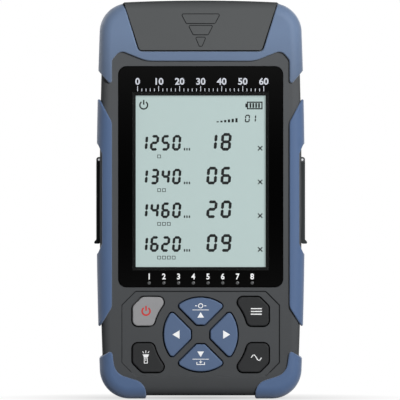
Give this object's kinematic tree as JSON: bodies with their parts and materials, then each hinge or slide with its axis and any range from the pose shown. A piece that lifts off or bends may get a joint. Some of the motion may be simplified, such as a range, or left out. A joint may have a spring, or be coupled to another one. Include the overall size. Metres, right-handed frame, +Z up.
{
  "type": "optical power meter",
  "caption": "Hand-held fibre optic power meter with a tall display, arrow and corner keys, rubber corner guards, hinged dust cover, side port doors and kickstand.",
  "frame": {"origin": "on the table, under the middle of the two feet and of the case", "axes": "+Z up along the case to the dust cover, -Y out of the display, +X to the right of someone facing the display"},
  "size_m": [0.0964, 0.0426, 0.18],
  "materials": {
    "case_grey": "fine matt texture",
    "rubber_blue": "satin elastomer",
    "cover_grey": "fine matt texture",
    "key_blue": "satin",
    "key_dark": "satin",
    "key_light": "satin",
    "silicone": "matt",
    "lens_black": "polished",
    "tape_black": "matt",
    "lcd": "polished",
    "diffuser": "satin",
    "frame_white": "moulded",
    "led_clear": "clear",
    "board_green": "solder mask",
    "steel": "bright",
    "black_plastic": "moulded",
    "port_metal": "turned",
    "ceramic": "ground",
    "door_dark": "fine matt texture",
    "socket_grey": "moulded",
    "gold": "plated",
    "cell_wrap": "printed sleeve"
  },
  "bodies": {
    "meter": {"front_shell": "case_grey", "rear_shell": "case_grey", "top_bumper": "rubber_blue", "grip_left": "rubber_blue", "grip_right": "rubber_blue", "foot_left": "rubber_blue", "foot_right": "rubber_blue", "cover_hinge_pin": "steel", "keypad_mat": "silicone", "display_lens": "lens_black", "lens_gasket": "tape_black", "lcd_glass": "lcd", "backlight": "diffuser", "lcd_frame": "frame_white", "indicator_leds": "led_clear", "main_board": "board_green", "board_screws": "steel", "buzzer": "black_plastic", "processor": "black_plastic", "connector_panel": "black_plastic", "port_adapters": "port_metal", "alignment_sleeves": "ceramic", "port_screws": "steel", "detector_modules": "port_metal", "torch_led": "led_clear", "torch_lens": "led_clear", "door_pin_right": "steel", "door_pin_left": "steel", "network_sockets": "socket_grey", "socket_contacts": "gold", "usb_socket": "steel", "charge_socket": "black_plastic", "case_screws": "steel", "battery_door": "case_grey", "battery_cells": "cell_wrap", "battery_plates": "steel", "battery_springs": "steel"},
    "cover": {"dust_cover": "cover_grey"},
    "door_right": {"port_door_right": "door_dark"},
    "door_left": {"port_door_left": "door_dark"},
    "stand": {"kickstand": "door_dark"},
    "key_up_cap": {"key_up": "key_blue"},
    "key_down_cap": {"key_down": "key_blue"},
    "key_left_cap": {"key_left": "key_blue"},
    "key_right_cap": {"key_right": "key_blue"},
    "key_menu_cap": {"key_menu": "key_dark"},
    "key_torch_cap": {"key_torch": "key_dark"},
    "key_wavelength_cap": {"key_wavelength": "key_dark"},
    "key_power_cap": {"key_power": "key_light"}
  },
  "joints": [
    {"name": "cover_hinge", "type": "hinge", "parent": "meter", "child": "cover", "pos_m": [0, 0.0155, 0.1768], "axis": [-1, 0, 0], "range_deg": [0, 115]},
    {"name": "door_right_hinge", "type": "hinge", "parent": "meter", "child": "door_right", "pos_m": [0.046, -0.0041, 0.10805], "axis": [0, -1, 0], "range_deg": [0, 110]},
    {"name": "door_left_hinge", "type": "hinge", "parent": "meter", "child": "door_left", "pos_m": [-0.046, -0.0041, 0.10805], "axis": [0, 1, 0], "range_deg": [0, 110]},
    {"name": "stand_hinge", "type": "hinge", "parent": "meter", "child": "stand", "pos_m": [0, 0.0181, 0.146], "axis": [1, 0, 0], "range_deg": [0, 35]},
    {"name": "key_up_press", "type": "slide", "parent": "meter", "child": "key_up_cap", "axis": [0, 1, 0], "range_m": [0, 0.001], "stiffness_N_per_m": 800, "springref_m": -0.001, "deforming": ["keypad_mat"]},
    {"name": "key_down_press", "type": "slide", "parent": "meter", "child": "key_down_cap", "axis": [0, 1, 0], "range_m": [0, 0.001], "stiffness_N_per_m": 800, "springref_m": -0.001},
    {"name": "key_left_press", "type": "slide", "parent": "meter", "child": "key_left_cap", "axis": [0, 1, 0], "range_m": [0, 0.001], "stiffness_N_per_m": 800, "springref_m": -0.001},
    {"name": "key_right_press", "type": "slide", "parent": "meter", "child": "key_right_cap", "axis": [0, 1, 0], "range_m": [0, 0.001], "stiffness_N_per_m": 800, "springref_m": -0.001},
    {"name": "key_menu_press", "type": "slide", "parent": "meter", "child": "key_menu_cap", "axis": [0, 1, 0], "range_m": [0, 0.001], "stiffness_N_per_m": 800, "springref_m": -0.001},
    {"name": "key_torch_press", "type": "slide", "parent": "meter", "child": "key_torch_cap", "axis": [0, 1, 0], "range_m": [0, 0.001], "stiffness_N_per_m": 800, "springref_m": -0.001},
    {"name": "key_wavelength_press", "type": "slide", "parent": "meter", "child": "key_wavelength_cap", "axis": [0, 1, 0], "range_m": [0, 0.001], "stiffness_N_per_m": 800, "springref_m": -0.001},
    {"name": "key_power_press", "type": "slide", "parent": "meter", "child": "key_power_cap", "axis": [0, 1, 0], "range_m": [0, 0.001], "stiffness_N_per_m": 800, "springref_m": -0.001}
  ]
}
